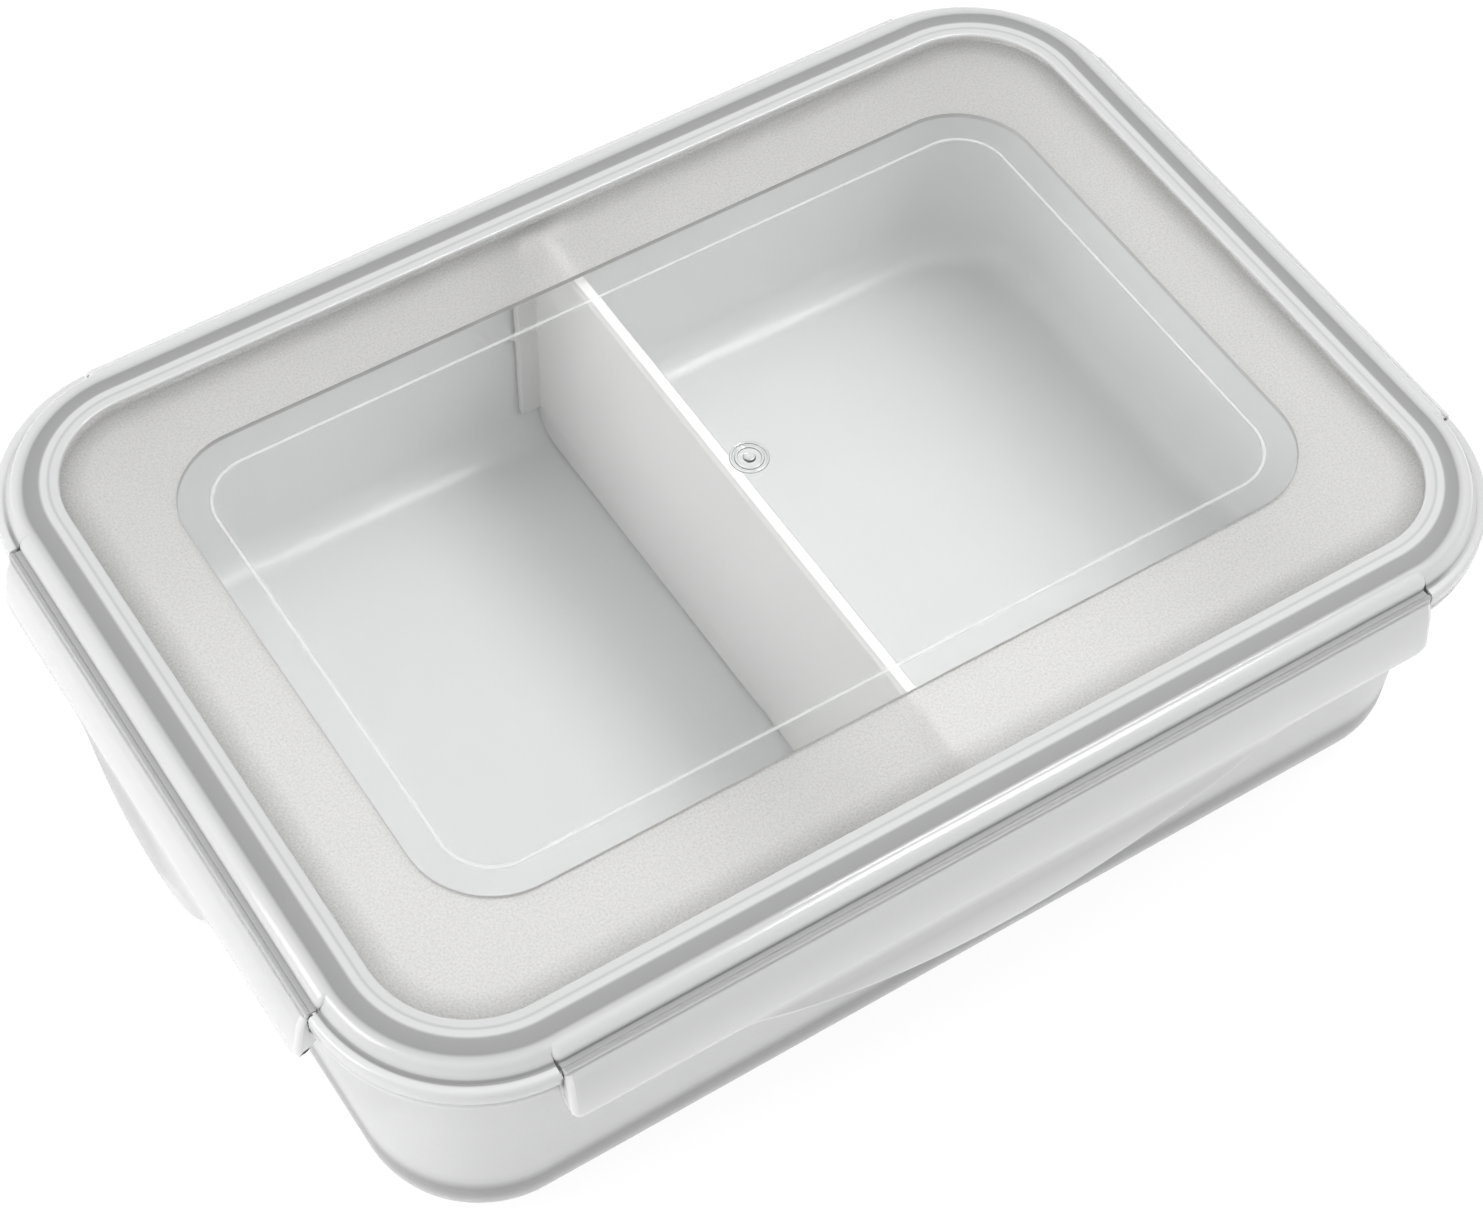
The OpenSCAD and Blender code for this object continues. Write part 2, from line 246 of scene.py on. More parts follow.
def draw_out(name, outline, start, end, along_y=True, tips=(), pivot=(0, 0)):
    """A bar drawn out along Y from a section of (outwards, height) points, or a plate drawn out
    along X from an outline of (sideways, height) points. tips gives (distance from an end, scale)
    pairs that round off both ends about a pivot of the section."""
    stations = [(start + d, scale) for d, scale in tips]
    stations += [(end - d, scale) for d, scale in reversed(tips)]
    stations = stations or [(start, 1), (end, 1)]
    bpy.ops.object.select_all(action="DESELECT")
    bpy.ops.mesh.primitive_circle_add(vertices=len(outline), radius=1, fill_type="NGON")
    obj = bpy.context.object
    place, size = stations[0]
    for vertex, (a, z) in zip(obj.data.vertices, outline):
        a, z = pivot[0] + (a - pivot[0]) * size, pivot[1] + (z - pivot[1]) * size
        vertex.co = (a * MM, place * MM, z * MM) if along_y else (place * MM, a * MM, z * MM)
    edit(obj)
    bpy.ops.mesh.select_all(action="SELECT")
    for next_place, next_size in stations[1:]:
        step = (next_place - place) * MM
        bpy.ops.mesh.extrude_region_move(
            TRANSFORM_OT_translate={"value": (0, step, 0) if along_y else (step, 0, 0)})
        ratio = next_size / size
        if ratio != 1:
            bpy.ops.transform.resize(value=(ratio, 1, ratio),
                                     center_override=(pivot[0] * MM, next_place * MM, pivot[1] * MM))
        place, size = next_place, next_size
    bpy.ops.mesh.select_all(action="SELECT")
    bpy.ops.mesh.normals_make_consistent(inside=False)
    done()
    return name_it(obj, name)


def arc(out, z, radius, start, end, steps=6):
    """Points of an arc of the profile plane, its angles in degrees from straight outwards."""
    angles = [math.radians(start + (end - start) * i / steps) for i in range(steps + 1)]
    return [(out + radius * math.cos(a), z + radius * math.sin(a)) for a in angles]


def lay_outline(length, width, corner, out, z, face_down=False):
    """A flat rounded rectangle as one face, grown by out, open for editing and selected."""
    bpy.ops.object.select_all(action="DESELECT")
    bpy.ops.mesh.primitive_plane_add(size=1, location=(0, 0, z * MM))
    obj = bpy.context.object
    obj.scale = ((length + 2 * out) * MM, (width + 2 * out) * MM, 1)
    bpy.ops.object.transform_apply(location=True, rotation=True, scale=True)
    bpy.ops.object.mode_set(mode="EDIT")
    bpy.ops.mesh.select_all(action="SELECT")
    bpy.ops.mesh.bevel(offset=(corner + out) * MM, segments=CORNER_STEPS, affect="VERTICES",
                       profile=0.5)
    bpy.ops.mesh.select_all(action="SELECT")
    if face_down:
        bpy.ops.mesh.flip_normals()
    return obj


def carry_in(profile, sign):
    """Carries the selected face along a profile that only goes up, down or inwards."""
    for (out, z), (next_out, next_z) in zip(profile, profile[1:]):
        bpy.ops.mesh.inset(thickness=max(out - next_out, 0) * MM, depth=sign * (next_z - z) * MM)


def ring_piece(name, upper, lower, plan=(SEAL_L, SEAL_W, SEAL_R), open_middle=True):
    """A ring of two profiles from its outermost outline inwards: one over the top, one underneath."""
    halves = []
    for profile, down in ((upper, False), (lower, True)):
        out, z = profile[0]
        obj = lay_outline(*plan, out, z, down)
        carry_in(profile, -1 if down else 1)
        if open_middle:
            bpy.ops.mesh.delete(type="FACE")
        bpy.ops.object.mode_set(mode="OBJECT")
        halves.append(obj)
    ring, underside = halves
    pick(ring)
    underside.select_set(True)
    bpy.ops.object.join()
    edit(ring)
    bpy.ops.mesh.select_all(action="SELECT")
    bpy.ops.mesh.remove_doubles(threshold=MERGE * MM)
    bpy.ops.mesh.normals_make_consistent(inside=False)
    done()
    return name_it(ring, name)


def apply(obj, kind, **settings):
    """Adds a modifier, sets it and applies it."""
    pick(obj)
    modifier = obj.modifiers.new(kind.title(), kind)
    for key, value in settings.items():
        setattr(modifier, key, value)
    bpy.ops.object.modifier_apply(modifier=modifier.name)


def combine(obj, tool, operation):
    """Adds, cuts or keeps what is common with a tool piece, which is then removed."""
    apply(obj, "BOOLEAN", operation=operation, object=tool, solver="EXACT")
    bpy.data.objects.remove(tool)


def smooth(obj, angle=35):
    """Shades a piece smooth, apart from edges sharper than an angle in degrees."""
    pick(obj)
    bpy.ops.object.shade_smooth_by_angle(angle=math.radians(angle))


def soften(obj, width, angle=35, steps=3):
    """Rounds the edges sharper than an angle in degrees, and shades the rest smooth."""
    apply(obj, "BEVEL", width=width * MM, segments=steps, limit_method="ANGLE",
          angle_limit=math.radians(angle), use_clamp_overlap=False, miter_outer="MITER_ARC")
    smooth(obj, angle)


def turn_to(obj, side):
    """Turns a piece modelled with outwards along X to its side, and moves it out to the seal line."""
    angle = math.radians(SIDES[side]["turn"])
    half = SIDES[side]["half"] * MM
    settle(obj, place=(half * math.cos(angle), half * math.sin(angle), 0), turn=angle)


def cut_notch(obj, side, inner, outer, low_z, high_z):
    """Cuts the room for a side's latch, between two distances out and two heights."""
    half = half_length(side, END_GAP)
    notch = add_cube("notch", (inner, -half, low_z - SPARE), (outer + SPARE, half, high_z + SPARE))
    turn_to(notch, side)
    combine(obj, notch, "DIFFERENCE")


def finish_piece(obj, body, node, slot, *materials):
    """Dresses a piece, keeping which face has which material, and gives it its place in the part."""
    faces = [face.material_index for face in obj.data.polygons]
    obj.data.materials.clear()
    for material in materials:
        obj.data.materials.append(material)
    for face, index in zip(obj.data.polygons, faces):
        face.material_index = min(index, len(materials) - 1)
    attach(obj, body)
    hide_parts(node)


# ---- Materials ----

# How far from a corner the far sides' look blends into the near sides' one
SIDE_BLEND = 16.0
# The distance out whose tone the steep side of the lid's ring takes as painted shade
STEEP_SHADE_TONE = 3.15
# The heights and distances out over which that steep side's painted shade begins
STEEP_SHADE_Z = (58.4, 59.3)
STEEP_SHADE_OUT = (6.5, 7.1)
# How much narrower the seal shows on the far sides
FAR_NARROWING = 0.32
# The height above which the far latches leave out the painted shade of the hinge's groove and stay as
# light as their faces
FAR_UNSHADED_Z = 52.0
# The heights over which the gloss of a latch ends below its hinge
GLOSS_END_Z = (57.1, 57.4)
# The distance out from which painted shade darkens the frosted border towards the ring
SHADE_OUT = -7.5
# The window's painted highlight line: its half width and blurred half width, its strength and its depth
HIGHLIGHT_LINE_W = (0.1, 0.5)
HIGHLIGHT_LINE_STRENGTH = 0.45
HIGHLIGHT_LINE_DEPTH = 0.5


def new_material(name, colour, transmission=0.0, glow_depth=0.0):
    """A plastic. glow_depth, in millimetres, is how far light spreads inside a milky one."""
    material = bpy.data.materials.new(name)
    material.use_nodes = True
    shader = material.node_tree.nodes["Principled BSDF"]
    shader.inputs["Base Color"].default_value = (*colour, 1)
    shader.inputs["IOR"].default_value = PLASTIC_IOR
    shader.inputs["Transmission Weight"].default_value = transmission
    if glow_depth:
        shader.inputs["Subsurface Weight"].default_value = 1
        shader.inputs["Subsurface Radius"].default_value = (1, 1, 1)
        shader.inputs["Subsurface Scale"].default_value = glow_depth * MM
    return material, material.node_tree, shader


def let_lamps_through(tree, shader, share):
    """Lets a share of the lamps' light pass a pane, so that what lies behind it is lit."""
    nodes, links = tree.nodes, tree.links
    path = nodes.new("ShaderNodeLightPath")
    through = nodes.new("ShaderNodeBsdfTransparent")
    through.inputs["Color"].default_value = (share, share, share, 1)
    mix = nodes.new("ShaderNodeMixShader")
    links.new(path.outputs["Is Shadow Ray"], mix.inputs[0])
    links.new(shader.outputs[0], mix.inputs[1])
    links.new(through.outputs[0], mix.inputs[2])
    links.new(mix.outputs[0], nodes["Material Output"].inputs["Surface"])


def add_gloss(shader, weight, roughness):
    """A thin polished skin over a softer plastic, for the crisp lights along its edges."""
    shader.inputs["Coat Weight"].default_value = weight
    shader.inputs["Coat Roughness"].default_value = roughness
    shader.inputs["Coat IOR"].default_value = PLASTIC_IOR


def add_grain(tree, shader, size, depth, roughness):
    """Fine moulded grain: a bump and a change of gloss that follow one noise on Object coordinates."""
    nodes, links = tree.nodes, tree.links
    place = nodes.new("ShaderNodeTexCoord")
    noise = nodes.new("ShaderNodeTexNoise")
    noise.inputs["Scale"].default_value = 1 / (size * MM)
    noise.inputs["Detail"].default_value = 1
    links.new(place.outputs["Object"], noise.inputs["Vector"])
    bump = nodes.new("ShaderNodeBump")
    bump.inputs["Strength"].default_value = 1
    bump.inputs["Distance"].default_value = depth * MM
    links.new(noise.outputs["Fac"], bump.inputs["Height"])
    links.new(bump.outputs["Normal"], shader.inputs["Normal"])
    links.new(rescale(tree, noise.outputs["Fac"], (0.3, 0.7), roughness), shader.inputs["Roughness"])
    return noise


def math_node(tree, operation, first, second=None):
    """A Math node fed by sockets or numbers. Returns its output."""
    node = tree.nodes.new("ShaderNodeMath")
    node.operation = operation
    for socket, value in zip(node.inputs, (first, second)):
        if isinstance(value, bpy.types.NodeSocket):
            tree.links.new(value, socket)
        elif value is not None:
            socket.default_value = value
    return node.outputs[0]


def place_along(tree, axis):
    """Where a point lies along an axis in millimetres, from its Object coordinates."""
    place = tree.nodes.new("ShaderNodeTexCoord")
    split = tree.nodes.new("ShaderNodeSeparateXYZ")
    tree.links.new(place.outputs["Object"], split.inputs["Vector"])
    return math_node(tree, "DIVIDE", split.outputs[axis], MM)


def distance_out(tree, plan=(SEAL_L, SEAL_W, SEAL_R), back=0.0):
    """How far out from a rounded rectangle a point lies, in millimetres. The rectangle's middle
    may lie further back."""
    length, width, corner_r = plan
    past = []
    for axis, size, middle in (("X", length, 0.0), ("Y", width, back)):
        along = math_node(tree, "SUBTRACT", place_along(tree, axis), middle)
        far = math_node(tree, "ABSOLUTE", along)
        past.append(math_node(tree, "SUBTRACT", far, size / 2 - corner_r))
    squares = [math_node(tree, "POWER", math_node(tree, "MAXIMUM", p, 0.0), 2.0) for p in past]
    corner = math_node(tree, "SQRT", math_node(tree, "ADD", *squares))
    inside = math_node(tree, "MINIMUM", math_node(tree, "MAXIMUM", *past), 0.0)
    return math_node(tree, "SUBTRACT", math_node(tree, "ADD", corner, inside), corner_r)


def rescale(tree, value, span, result):
    """Carries a value's span over to another one, held at its ends."""
    node = tree.nodes.new("ShaderNodeMapRange")
    for name, number in zip(("From Min", "From Max", "To Min", "To Max"), (*span, *result)):
        node.inputs[name].default_value = number
    tree.links.new(value, node.inputs["Value"])
    return node.outputs["Result"]


def colour_by(tree, shader, value, stops, tint=(1, 1.004, 1.004)):
    """Colours a surface by a value: stops are (value, grey level) pairs in rising order."""
    low, high = stops[0][0], stops[-1][0]
    ramp = tree.nodes.new("ShaderNodeValToRGB")
    elements = ramp.color_ramp.elements
    while len(elements) < len(stops):
        elements.new(0.5)
    for element, (at, grey) in zip(elements, stops):
        element.position = (at - low) / (high - low)
        element.color = (*(grey * share for share in tint), 1)
    tree.links.new(rescale(tree, value, (low, high), (0, 1)), ramp.inputs["Fac"])
    tree.links.new(ramp.outputs["Color"], shader.inputs["Base Color"])


def far_side(tree, left=0.0):
    """1 along the back and the right side, another share along the left one, 0 along the front."""
    along = place_along(tree, "X")
    right = math_node(tree, "SUBTRACT", along, SEAL_L / 2)
    back = math_node(tree, "SUBTRACT", place_along(tree, "Y"), SEAL_W / 2)
    far = rescale(tree, math_node(tree, "MAXIMUM", right, back), (-SIDE_BLEND, 0), (0, 1))
    near = rescale(tree, along, (-SEAL_L / 2, SIDE_BLEND - SEAL_L / 2), (left, 0))
    return math_node(tree, "MAXIMUM", far, near)


def outer_height(tree):
    """The height of the tub's outer skin in millimetres, and one above the rim for its inner
    skin, which is told from the outer one by the middle of the wall."""
    height = place_along(tree, "Z")
    across = math_node(tree, "MAXIMUM", math_node(tree, "ADD", distance_out(tree), -TURN_OUT), 0.0)
    down = math_node(tree, "MINIMUM", math_node(tree, "SUBTRACT", height, TURN_Z), 0.0)
    squares = [math_node(tree, "POWER", value, 2.0) for value in (across, down)]
    from_turn = math_node(tree, "SQRT", math_node(tree, "ADD", *squares))
    inner = math_node(tree, "LESS_THAN", from_turn, TURN_R)
    return math_node(tree, "ADD", height, math_node(tree, "MULTIPLY", inner, RING_Z))


def make_tub_plastic():
    """Milky, a little darker where the wall turns under above the foot, a painted shade, and lighter
    again towards the foot, painted light from the floor.
    """
    material, tree, shader = new_material("tub_plastic", (0.78, 0.785, 0.785), glow_depth=2.5)
    add_grain(tree, shader, size=1.2, depth=0.006, roughness=(0.36, 0.46))
    add_gloss(shader, weight=0.4, roughness=0.18)
    # Painted shade in a band where the wall turns under, and painted floor light towards the foot
    tones = [(0, 0.76), (3, 0.68), (8.5, 0.6), (10.6, 0.41), (12.4, 0.36), (13.6, 0.5), (15, 0.68),
             (17, 0.74), (RING_Z, 0.77)]
    colour_by(tree, shader, outer_height(tree), tones)
    return material


def make_lid_plastic():
    """Milky like the tub. The grey seal shows through it as a soft-edged band. The steep side of the
    ring above the skirt is darkened with painted shade in the seal's tone, and the shoulder grows a
    little lighter towards its edge, a painted highlight."""
    material, tree, shader = new_material("lid_plastic", (0.74, 0.745, 0.745), glow_depth=0.5)
    add_grain(tree, shader, size=1.2, depth=0.006, roughness=(0.34, 0.42))
    add_gloss(shader, weight=1, roughness=0.08)
    out = distance_out(tree)
    # Painted shade on the steep side of the ring above the skirt, in the seal's tone
    low = rescale(tree, place_along(tree, "Z"), STEEP_SHADE_Z, (1, 0))
    side = math_node(tree, "MULTIPLY", low, rescale(tree, out, STEEP_SHADE_OUT, (1, 0)))
    shade_shift = math_node(tree, "MULTIPLY", math_node(tree, "SUBTRACT", STEEP_SHADE_TONE, out), side)
    narrowing = math_node(tree, "MULTIPLY", far_side(tree), FAR_NARROWING)
    hidden = math_node(tree, "MULTIPLY", math_node(tree, "MAXIMUM", out, 0.0), narrowing)
    # Past the seal's band the ring grows a little lighter towards the shoulder's edge: a painted
    # highlight
    tones = [(RING_IN, 0.74), (-1.5, 0.74), (-1.1, 0.6), (-0.7, 0.76), (0.1, 0.76), (0.6, 0.42),
             (3.1, 0.38), (3.6, 0.62), (4.5, 0.74), (SHOULDER_OUT, 0.8), (SKIRT_OUT, 0.78)]
    seen = math_node(tree, "ADD", math_node(tree, "ADD", out, shade_shift), hidden)
    colour_by(tree, shader, seen, tones)
    return material


def make_latch_plastic():
    """Milky, greyer above the tab with painted shade, lighter with painted light along the tab's lower
    rim and in a band low on the face, with a dark bead of painted shade at the hinge on the near sides.
    """
    material, tree, shader = new_material("latch_plastic", (0.76, 0.765, 0.765), glow_depth=1.5)
    add_grain(tree, shader, size=1.2, depth=0.006, roughness=(0.34, 0.42))
    add_gloss(shader, weight=1, roughness=0.1)
    height = place_along(tree, "Z")
    # On the far sides the painted shade of the hinge's groove is left out
    above = math_node(tree, "MAXIMUM", math_node(tree, "SUBTRACT", height, FAR_UNSHADED_Z), 0.0)
    held = math_node(tree, "MULTIPLY", above, far_side(tree))
    # Painted light and shade by height: light tab rim, shade above the tab, light band, dark hinge bead
    tones = [(TAB_LOW_Z, 0.84), (35, 0.74), (42, 0.5), (45, 0.56), (47.5, 0.86), (50, 0.82),
             (57.5, 0.72), (58.0, 0.42), (RING_Z, 0.36)]
    colour_by(tree, shader, math_node(tree, "SUBTRACT", height, held), tones)
    tree.links.new(rescale(tree, height, GLOSS_END_Z, (1, 0)), shader.inputs["Coat Weight"])
    return material


def make_edge_plastic():
    """The latches' thin edges, lighter than the latches: painted light where light gathers in the milky
    plastic.
    """
    material, tree, shader = new_material("latch_edge", (0.92, 0.925, 0.925), glow_depth=1)
    add_grain(tree, shader, size=1.2, depth=0.004, roughness=(0.34, 0.4))
    add_gloss(shader, weight=1, roughness=0.1)
    return material


def make_hinge_plastic():
    """The thin strips behind the latches, dark with painted shade of their grooves, and lighter with
    painted light on the far sides and, less so, on the left.
    """
    material, tree, shader = new_material("hinge_plastic", (0.42, 0.425, 0.425))
    add_grain(tree, shader, size=1.2, depth=0.004, roughness=(0.34, 0.42))
    colour_by(tree, shader, far_side(tree, left=0.6), [(0, 0.46), (1, 0.74)])
    return material


def make_frosted():
    """The blasted border of the lid: a fine sandy grain that blurs what lies behind, with painted shade
    darkening it towards the ring.
    """
    material, tree, shader = new_material("frosted_panel", (0.88, 0.88, 0.87), transmission=0.8)
    noise = add_grain(tree, shader, size=0.38, depth=0.04, roughness=(0.34, 0.42))
    shade = rescale(tree, distance_out(tree), (SHADE_OUT, RING_IN), (0, 0.5))
    colour_by(tree, shader, math_node(tree, "SUBTRACT", noise.outputs["Fac"], shade),
              [(-0.2, 0.52), (0.34, 0.79), (0.66, 0.965)], tint=(1, 0.993, 0.982))
    let_lamps_through(tree, shader, share=0.75)
    return material


def make_pane_edge():
    """The step between the blasted and the clear part of the lid, seen edge on as a thin grey line."""
    material, tree, shader = new_material("pane_edge", (0.55, 0.55, 0.545))
    add_grain(tree, shader, size=0.5, depth=0.004, roughness=(0.4, 0.5))
    return material


def make_clear():
    """Clear, with a painted highlight: a fine line, less clear and so lighter, where the slope round the
    window meets its flat middle.
    """
    material, tree, shader = new_material("clear_window", (0.97, 0.975, 0.975), transmission=1)
    add_grain(tree, shader, size=25, depth=0.01, roughness=(0.01, 0.03))
    # Painted highlight: a line along the slope's foot made less clear, and so lighter
    out = distance_out(tree, (WINDOW_L, WINDOW_W, WINDOW_R), WINDOW_Y)
    from_line = math_node(tree, "ABSOLUTE", math_node(tree, "ADD", out, BEVEL_W))
    top = math_node(tree, "GREATER_THAN", place_along(tree, "Z"), WINDOW_Z - HIGHLIGHT_LINE_DEPTH)
    light = math_node(tree, "MULTIPLY", rescale(tree, from_line, HIGHLIGHT_LINE_W, (HIGHLIGHT_LINE_STRENGTH, 0)), top)
    tree.links.new(math_node(tree, "SUBTRACT", 1.0, light), shader.inputs["Transmission Weight"])
    let_lamps_through(tree, shader, share=0.95)
    return material


def make_silicone():
    """The grey seal's silicone, a little dull."""
    material, tree, shader = new_material("seal_silicone", (0.4, 0.405, 0.41))
    add_grain(tree, shader, size=0.8, depth=0.02, roughness=(0.4, 0.5))
    return material


def make_divider_plastic():
    """White and less milky than the tub."""
    material, tree, shader = new_material("divider_plastic", (0.82, 0.82, 0.81))
    add_grain(tree, shader, size=1.0, depth=0.008, roughness=(0.32, 0.42))
    return material


tub_plastic = make_tub_plastic()
lid_plastic = make_lid_plastic()
latch_plastic = make_latch_plastic()
edge_plastic = make_edge_plastic()
hinge_plastic = make_hinge_plastic()
frosted = make_frosted()
clear = make_clear()
pane_edge = make_pane_edge()
silicone = make_silicone()
divider_plastic = make_divider_plastic()


# ---- Tub ----

def make_tub():
    """The tub with its rim and rail, the rail cut away where the latches hang."""
    rail_top = RAIL_Z + RAIL_T
    rail_end = RAIL_OUT - EDGE_R
    rim_turn = RIM_Z - EDGE_R
    floor_more = (FLOOR_T - WALL_T) / 2
    outer_r = TURN_R + WALL_T / 2
    start = (RAIL_OUT, RAIL_Z + RAIL_T / 2)
    upper = [start, *arc(rail_end, rail_top - EDGE_R, EDGE_R, 0, 90, 3),
             *arc(RIM_OUT + EDGE_R, rail_top + EDGE_R, EDGE_R, 270, 180, 3),
             *arc(RIM_OUT - EDGE_R, rim_turn, EDGE_R, 0, 90, 4),
             *arc(RIM_IN + EDGE_R, rim_turn, EDGE_R, 90, 180, 4),
             (RIM_IN, 52.6), (0.6, 51.6), (0.0, 50.6), (-0.2, 50.0),
             *arc(TURN_OUT, TURN_Z + floor_more, TURN_R - WALL_T / 2, 0, -90, 10)]
    lower = [start, *arc(rail_end, RAIL_Z + EDGE_R, EDGE_R, 0, -90, 3),
             (3.4, RAIL_Z), (RIM_OUT, 52.0), (1.9, 50.9), (1.4, 50.0),
             *arc(TURN_OUT, TURN_Z - floor_more, outer_r, 0, -75, 10),
             (FOOT_OUT, 1.7), *arc(FOOT_OUT - FOOT_R, FOOT_R, FOOT_R, 0, -90, 3),
             *arc(FOOT_IN + FOOT_R, FOOT_R, FOOT_R, 270, 180, 3),
             (FOOT_IN, 1.4), (FOOT_IN - FOOT_R, FLOOR_LOW_Z)]
    tub = ring_piece("tub_shell", upper, lower, open_middle=False)
    for side in SIDES:
        cut_notch(tub, side, RAIL_NOTCH_OUT, RAIL_OUT, RAIL_Z, rail_top)
    smooth(tub)
    finish_piece(tub, "base", "tub", "tub_plastic", tub_plastic)


# ---- Divider ----

def make_divider():
    """The divider, from the CAD's own solid, with soft edges."""
    divider = frame["nodes"]["divider"].copy()
    divider.data = divider.data.copy()
    bpy.context.scene.collection.objects.link(divider)
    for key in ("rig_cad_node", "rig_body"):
        del divider[key]
    divider.parent = None
    name_it(divider, "divider_wall")
    edit(divider)
    bpy.ops.mesh.select_all(action="SELECT")
    bpy.ops.mesh.remove_doubles(threshold=MERGE * MM)
    bpy.ops.mesh.dissolve_limited(angle_limit=math.radians(2))
    done()
    soften(divider, DIVIDER_EDGE_R, angle=30)
    finish_piece(divider, "divider", "divider", "divider_plastic", divider_plastic)


# ---- Lid ----

def make_shoulder(side):
    """The bar that carries a latch, with a round top edge and round tips."""
    half = half_length(side, END_GAP)
    middle = (SHOULDER_OUT - SHOULDER_R, SHOULDER_Z - SHOULDER_R)
    section = [(RING_OUT, RING_LOW_Z), (SHOULDER_OUT, RING_LOW_Z), *arc(*middle, SHOULDER_R, 0, 90, 8),
               (RING_OUT, SHOULDER_Z)]
    bar = draw_out("shoulder", section, -half, half, tips=SHOULDER_TIPS, pivot=middle)
    turn_to(bar, side)
    return bar


def make_lid_frame():
    """The lid's ring, cut away where the latches hang, with a shoulder for each of them."""
    low_z = SKIRT_LOW_Z + SKIRT_LOW_R
    skirt_in = SKIRT_OUT - SKIRT_T
    start = (SKIRT_OUT, SKIRT_MIDDLE_Z)
    upper = [start, *arc(SKIRT_OUT - SKIRT_R, SKIRT_Z - SKIRT_R, SKIRT_R, 0, 90, 5),
             (6.5, SKIRT_Z), (6.2, 58.0), (6.05, 58.3), *arc(CROWN_OUT, CROWN_Z, CROWN_R, 12, 84, 6),
             (RING_OUT, RING_Z), (RING_IN + 0.6, RING_Z),
             *arc(RING_IN + 0.4, RING_Z - RING_IN_R, RING_IN_R, 90, 170, 4), (RING_IN, PANEL_Z)]
    lower = [start, *arc(SKIRT_OUT - SKIRT_LOW_R, low_z, SKIRT_LOW_R, 0, -90, 2),
             *arc(skirt_in + SKIRT_LOW_R, low_z, SKIRT_LOW_R, 270, 180, 2),
             (skirt_in, 56.3), (6.4, RING_LOW_Z), (GROOVE_OUT, RING_LOW_Z), (GROOVE_OUT, GROOVE_Z),
             (0.0, GROOVE_Z), *arc(-LIP_R, LIP_LOW_Z + LIP_R, LIP_R, 0, -90, 2),
             *arc(LIP_R - LIP_T, LIP_LOW_Z + LIP_R, LIP_R, 270, 180, 2),
             (-LIP_T, 58.6), (-1.6, PANEL_LOW_Z), (RING_IN, PANEL_LOW_Z), (RING_IN - MERGE / 4, PANEL_Z)]
    lid = ring_piece("lid_ring", upper, lower)
    for side in SIDES:
        cut_notch(lid, side, LID_NOTCH_OUT, SKIRT_OUT, SKIRT_LOW_Z, RING_Z)
        combine(lid, make_shoulder(side), "UNION")
    smooth(lid)
    finish_piece(lid, "lid", "lid_frame", "lid_plastic", lid_plastic)


def dress_walls(obj):
    """Gives the upright faces round the window the piece's second material."""
    reach_x = (WINDOW_L / 2 + 1) * MM
    reach_y = (WINDOW_W / 2 + 3) * MM
    for face in obj.data.polygons:
        within = abs(face.center.x) < reach_x and abs(face.center.y) < reach_y
        face.material_index = int(within and abs(face.normal.z) < 0.3)


def make_panel():
    """The frosted border, open where the window sits."""
    edge = RING_IN - SEAM
    inner = edge - PANEL_RIM_W
    panel = ring_piece("frosted_border", [(edge, PANEL_MIDDLE_Z), (edge, PANEL_Z), (inner, PANEL_Z)],
                       [(edge, PANEL_MIDDLE_Z), (edge, PANEL_LOW_Z), (inner, PANEL_LOW_Z)],
                       open_middle=False)
    opening = lay_outline(WINDOW_L, WINDOW_W, WINDOW_R, SEAM, PANEL_LOW_Z - SPARE)
    bpy.ops.mesh.extrude_region_move(TRANSFORM_OT_translate={"value": (0, 0, OPENING_H * MM)})
    bpy.ops.mesh.select_all(action="SELECT")
    bpy.ops.mesh.normals_make_consistent(inside=False)
    done()
    settle(opening, place=(0, WINDOW_Y * MM, 0))
    combine(panel, opening, "DIFFERENCE")
    smooth(panel)
    dress_walls(panel)
    finish_piece(panel, "lid", "lid_panel", "frosted_panel", frosted, pane_edge)


def make_window():
    """The clear pane, with a slope all round down to its flat middle."""
    low = WINDOW_Z - WINDOW_T
    upper = [(0, PANEL_MIDDLE_Z), (0, PANEL_Z), (-BEVEL_W + 0.6, WINDOW_Z + 0.08),
             (-BEVEL_W, WINDOW_Z + 0.02), (-BEVEL_W - 0.6, WINDOW_Z)]
    lower = [(0, PANEL_MIDDLE_Z), (0, PANEL_LOW_Z), (-0.5, PANEL_LOW_Z - 0.04), (-BEVEL_W, low),
             (-BEVEL_W - 0.4, low)]
    plan = (WINDOW_L, WINDOW_W, WINDOW_R)
    window = ring_piece("window_pane", upper, lower, plan, open_middle=False)
    settle(window, place=(0, WINDOW_Y * MM, 0))
    smooth(window, 20)
    dress_walls(window)
    finish_piece(window, "lid", "window", "clear_window", clear, pane_edge)


